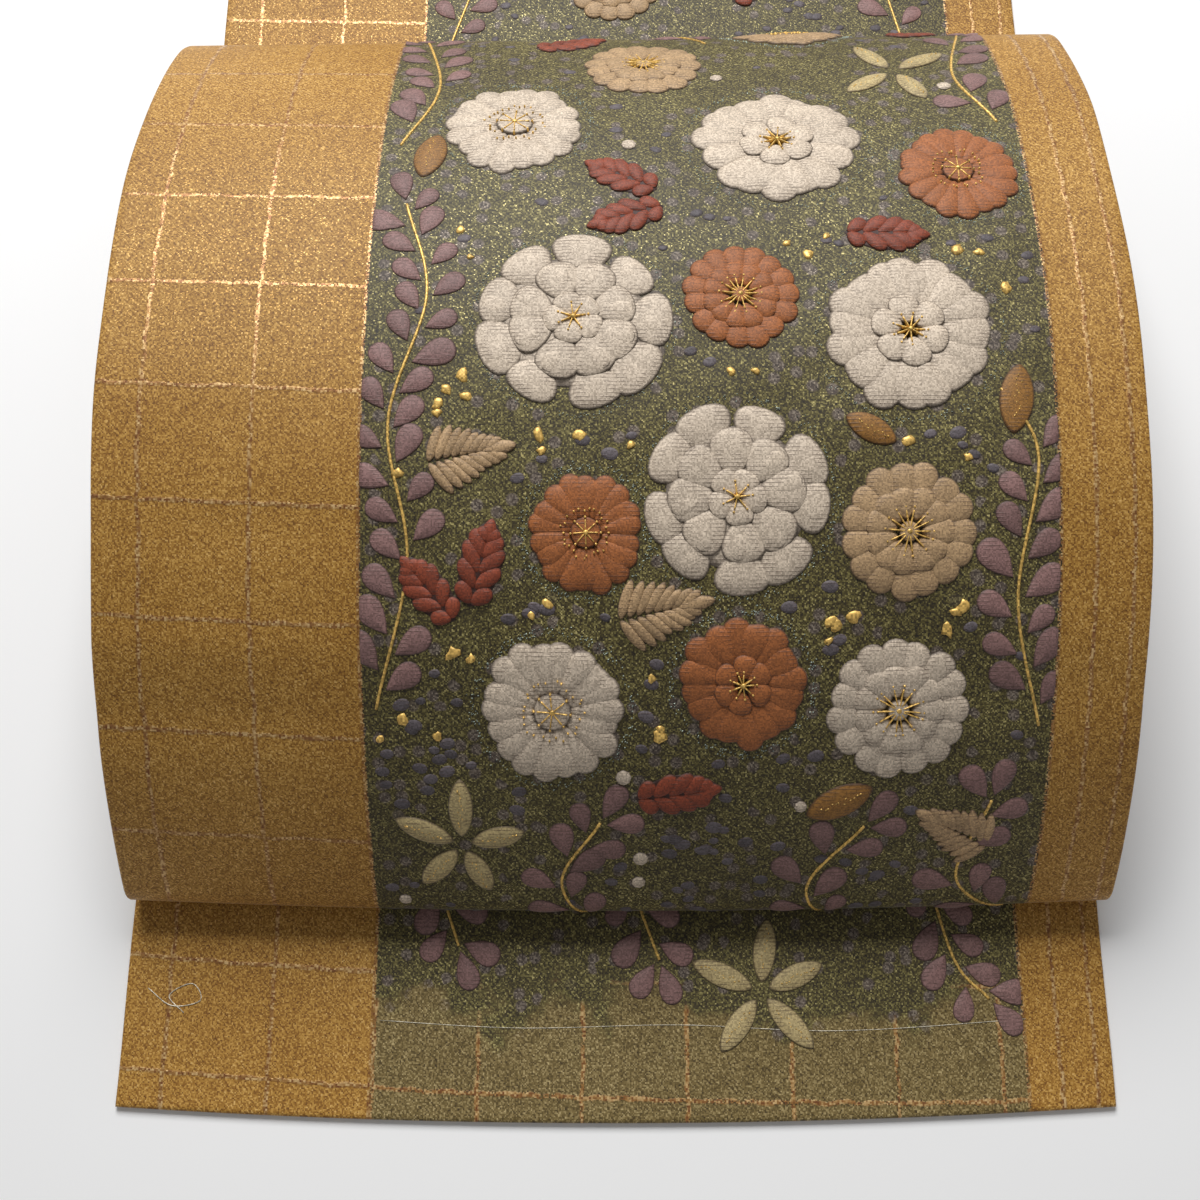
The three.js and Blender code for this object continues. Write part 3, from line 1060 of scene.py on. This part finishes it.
# ---- where the raised work lies
# t is measured along the cloth from where the drum's front starts.
# Drawn by, kind, dye, u, t, radius, turn
BLOSSOM_SCALE = 1.14
BLOSSOMS = [
    (plum_blossom, "white", WHITE, -34, 262, 21, 10), (layered_blossom, "white", WHITE, 50, 252, 25, 0),
    (daisy_blossom, "beige", BEIGE, 8, 300, 18, 0), (plum_blossom, "rust", RUST, 106, 238, 18, 25),
    (frilled_blossom, "white", WHITE, -14, 182, 26, 5), (layered_blossom, "white", WHITE, 86, 178, 24, 20),
    (daisy_blossom, "rust", RUST, 36, 190, 16, 0), (frilled_blossom, "white", WHITE, 34, 128, 25, 30),
    (plum_blossom, "rust", RUST, -10, 118, 16, 0), (daisy_blossom, "beige", BEIGE, 84, 118, 18, 0),
    (plum_blossom, "white", WHITE, -20, 66, 20, 12), (layered_blossom, "rust", RUST, 36, 74, 18, 8),
    (daisy_blossom, "white", WHITE, 82, 66, 19, 0), (plum_blossom, "beige", BEIGE, 60, 340, 19, 0),
]
# u, t, angle, length
RED_LEAVES = [
    (12, 230, 150, 26), (14, 224, 200, 25), (68, 213, -3, 26), (-44, 96, 75, 26), (-48, 92, 130, 24),
    (4, 38, 8, 26), (-30, 318, 20, 26), (96, 330, 40, 24),
]
OCHRE_LEAVES = [(115, 146, 82, 22), (56, 32, 25, 22), (-62, 236, 80, 22), (66, 152, -28, 17)]
# u, t, turn, leaves, length
SPRIGS = [(-48, 22, 15, 5, 19), (92, 294, 30, 4, 20)]
# u, t, angle, length
FRONDS = [(-56, 138, 12, 26), (0, 93, 12, 28), (112, 20, 150, 26)]
# Points (u, t) along each stem, and (u, s) on the tail
SPRAYS = [
    [(-72, 66), (-62, 110), (-68, 150), (-58, 190), (-66, 225)],
    [(124, 60), (116, 98), (122, 140), (112, 160)],
    [(66, -14), (58, 6), (74, 28)], [(122, -10), (104, 8), (112, 36)],
    [(-8, -14), (-18, 8), (-6, 30)], [(-70, 252), (-60, 284), (-68, 330)],
    [(30, 322), (20, 345), (34, 370)], [(122, 262), (112, 290), (120, 330)],
]
TAIL_SPRAYS = [[(-58, 74), (-50, 52)], [(4, 74), (14, 48)], [(100, 76), (108, 46), (118, 34)]]
PANEL_MARGIN = 0.3


def lay_out(stretch, origin, reach, rng):
    """Blossoms, leaves and sprays that lie between two places, reach, along t."""
    low, high = reach

    def inside(t, spare=0.0):
        return low < t - spare and t + spare < high

    for draw, kind, dye, u, t, radius, turn in BLOSSOMS:
        if inside(t, radius):
            draw(stretch, kind, u, origin + t, radius * BLOSSOM_SCALE, turn, dye, rng)
    for u, t, angle, length in RED_LEAVES:
        if inside(t, length):
            veined_leaf(stretch, u, origin + t, angle, length, length * 0.56, RED, rng)
    for u, t, angle, length in OCHRE_LEAVES:
        if inside(t, length):
            plain_leaf(stretch, u, origin + t, angle, length, length * 0.48, OCHRE, rng)
    for u, t, turn, leaves, length in SPRIGS:
        if inside(t):
            sprig(stretch, u, origin + t, turn, rng, PALE, leaves, length)
    for u, t, angle, length in FRONDS:
        if inside(t):
            frond(stretch, u, origin + t, angle, length, BEIGE, rng)
    for points in SPRAYS:
        if low <= points[0][1] and points[-1][1] < high:
            spray(stretch, [(u, origin + t) for u, t in points], rng)


def scatter(stretch, low, high, count, draw, size, rng):
    for _ in range(count):
        u, s = rng.uniform(PANEL_LEFT + 4, PANEL_RIGHT - 4), rng.uniform(low, high)
        if stretch.free(u, s, size * 0.6):
            draw(stretch, u, s, size * rng.uniform(0.7, 1.2), rng)


def relief_mesh(name, relief, course, material, ends, sides=(-HALF, HALF), shift=0.0):
    """Raised work as one mesh, kept between two ends along the cloth and two sides across it."""
    places = np.vstack(relief.places)
    u = np.clip(places[:, 0], *sides)
    s = np.clip(places[:, 1], *ends)
    points = surface(course, u, s, places[:, 2], shift)
    made = make_mesh(name, points, relief.faces, material, np.stack([u, s], -1),
                     floats={"rim": np.concatenate(relief.rims)},
                     colours={"dye": np.vstack(relief.dyes)})
    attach(made, "root")
    return made


def raise_work(name, stretch, course, low, high, shift=0.0):
    """One mesh for each kind of raised work on a stretch, inside the panel."""
    sides = (PANEL_LEFT + PANEL_MARGIN, PANEL_RIGHT - PANEL_MARGIN)
    return [relief_mesh(f"{name}_{kind}", relief, course, RAISED[kind],
                        (low, high), sides, shift)
            for kind, relief in stretch.kinds.items() if relief.faces]


def stack_ring(z):
    """One level of the stack: a square-cornered loop, drawn in at each layer's seam."""
    layer = min(STACK_LAYERS - 1, round(z / LAYER_PITCH * STACK_LEVELS) // STACK_LEVELS)
    across = 2 * (z / LAYER_PITCH - math.floor(z / LAYER_PITCH + 1e-9)) - 1
    draw_in = SELVEDGE_GROOVE * across * across
    drift = LAYER_DRIFT * math.sin(2.4 * layer)
    front = STACK_FRONT_Y + (THICK + SEAM_GAP if z > (STACK_LAYERS - 1) * LAYER_PITCH else draw_in)
    half, rear = HALF - draw_in, STACK_REAR_Y - draw_in
    ring = []
    for angle in np.linspace(0, 2 * math.pi, STACK_POINTS, endpoint=False):
        x, y = math.cos(angle), math.sin(angle)
        longest = max(abs(x), abs(y))
        x, y = x / longest, y / longest
        inset = 1 - CORNER_SOFTNESS * abs(x * y) ** 8
        ring.append((drift + half * x * inset, (front + rear) / 2 + (rear - front) / 2 * y * inset, z))
    return ring


def folded_stack():
    """The hidden length: one rounded body, layered at its edges."""
    count = STACK_LAYERS * STACK_LEVELS + 1
    points = [point for level in range(count) for point in stack_ring(level * LAYER_PITCH / STACK_LEVELS)]
    faces = ring_faces(count, STACK_POINTS)
    faces.append(tuple(range(STACK_POINTS))[::-1])
    faces.append(tuple((count - 1) * STACK_POINTS + j for j in range(STACK_POINTS)))
    places = np.array(points)
    made = make_mesh("stack_layers", points, faces, PLAIN, places[:, :2] + places[:, 2:])
    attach(made, "root")
    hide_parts("folded_stack")


def loose_threads():
    """Stray threads on the end of the sash."""
    relief = Relief()
    curl = [(-148, 36), (-140, 31), (-131, 33), (-134, 38), (-141, 34), (-136, 29)]
    long_line = [(-74, 29), (-30, 27.5), (20, 28.5), (70, 26), (129, 27.5)]
    cord(relief, curve(curl), 0.4, 0.35, THREAD_DYE)
    cord(relief, curve(long_line, 4), 0.24, 0.22, THREAD_DYE)
    relief_mesh("loose_threads", relief, MAIN, METAL, (0, MARK["seam_1"]),
                shift=TAIL_SHIFT)


def shell(name, node, course, start, end, columns, step, slot, rests_on, held, raised, shift):
    """A shell of cloth that stands for one solid, made to the size that it was cut to, with that solid
    hidden.
    """
    made = cloth(name, course, start, end, columns, step, [FIGURED, PLAIN], shift)
    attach(made, "root")
    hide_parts(node)


camera()
studio()
FIGURED = figured_cloth()
PLAIN = plain_back()
SILK = raised_silk()
METAL = metal_thread()
RAISED = {kind: METAL if slot == "metal_thread" else SILK for kind, slot in KIND_SLOTS.items()}

rng = random.Random(7)
on_drum, on_tail, on_run, on_top = Stretch(), Stretch(), Stretch(), Stretch()
front = MARK["front"]
lay_out(on_drum, front, (-16, MARK["seam_3"] - front - 2), rng)
for points in TAIL_SPRAYS:
    spray(on_tail, points, rng)
sprig(on_tail, 46, 38, 20, rng, PALE, 5, 20)
sprig(on_tail, -34, 92, 50, rng)
lay_out(on_top, TOP.marks["top"], (0, 275), rng)
spray(on_run, [(-66, MARK["run"] + 4), (-52, MARK["run"] + 50)], rng)
daisy_blossom(on_run, "beige", -2, MARK["run"] + 32, 19, 0, BEIGE, rng)
veined_leaf(on_run, 44, MARK["run"] + 22, 40, 26, 15, RED, rng)
spray(on_run, [(110, MARK["run"] + 4), (100, MARK["run"] + 50)], rng)
scatter(on_drum, front + 50, front + 215, 230, nugget, 5.0, rng)
scatter(on_drum, front - 10, front + 340, 26, dot, 4.4, rng)
scatter(on_drum, front - 14, front + 150, 420, pebble, 5.0, rng)
scatter(on_drum, front + 150, MARK["fall"], 160, pebble, 4.4, rng)
scatter(on_run, MARK["run"] + 4, MARK["end"] - 4, 60, pebble, 4.6, rng)
scatter(on_tail, 62, 200, 90, pebble, 4.8, rng)

drum_work = raise_work("drum", on_drum, MAIN, MARK["lower_edge"] + 2, MARK["seam_3"] - 2)
tail_work = raise_work("tail", on_tail, MAIN, 6, MARK["seam_1"] - 6, TAIL_SHIFT)
run_work = raise_work("run", on_run, MAIN, MARK["run"] + 1, MARK["end"] - 1)
top_work = raise_work("top", on_top, TOP, TOP.marks["top"] + 1, TOP.marks["end"] - 1)
folded_stack()
loose_threads()
# Name, solid, course, start, end, columns, step, slot, what it rests on, held, raised work, shift
SHELLS = [
    ("cloth_tail", "tail", MAIN, 0, MARK["seam_1"], 100, 3.0,
     "gold_silk", "floor", "laid", tail_work, TAIL_SHIFT),
    ("cloth_tuck", "tuck", MAIN, MARK["inner_fold"], MARK["seam_2"], 60, 4.0,
     "plain_back", "cloth_tail", "folded", (), 0.0),
    ("cloth_drum", "drum", MAIN, MARK["lower_edge"], MARK["seam_3"], 150, 2.0,
     "gold_silk", "cloth_tail", "folded", drum_work, 0.0),
    ("cloth_run", "rear_run", MAIN, MARK["run"], MARK["end"], 100, 3.0,
     "gold_silk", "floor", "laid", run_work, 0.0),
    ("cloth_top", "top_layer", TOP, TOP.marks["wrap"], TOP.marks["end"], 100, 4.0,
     "gold_silk", "stack_layers", "folded", top_work, 0.0),
]
for row in SHELLS:
    shell(*row)
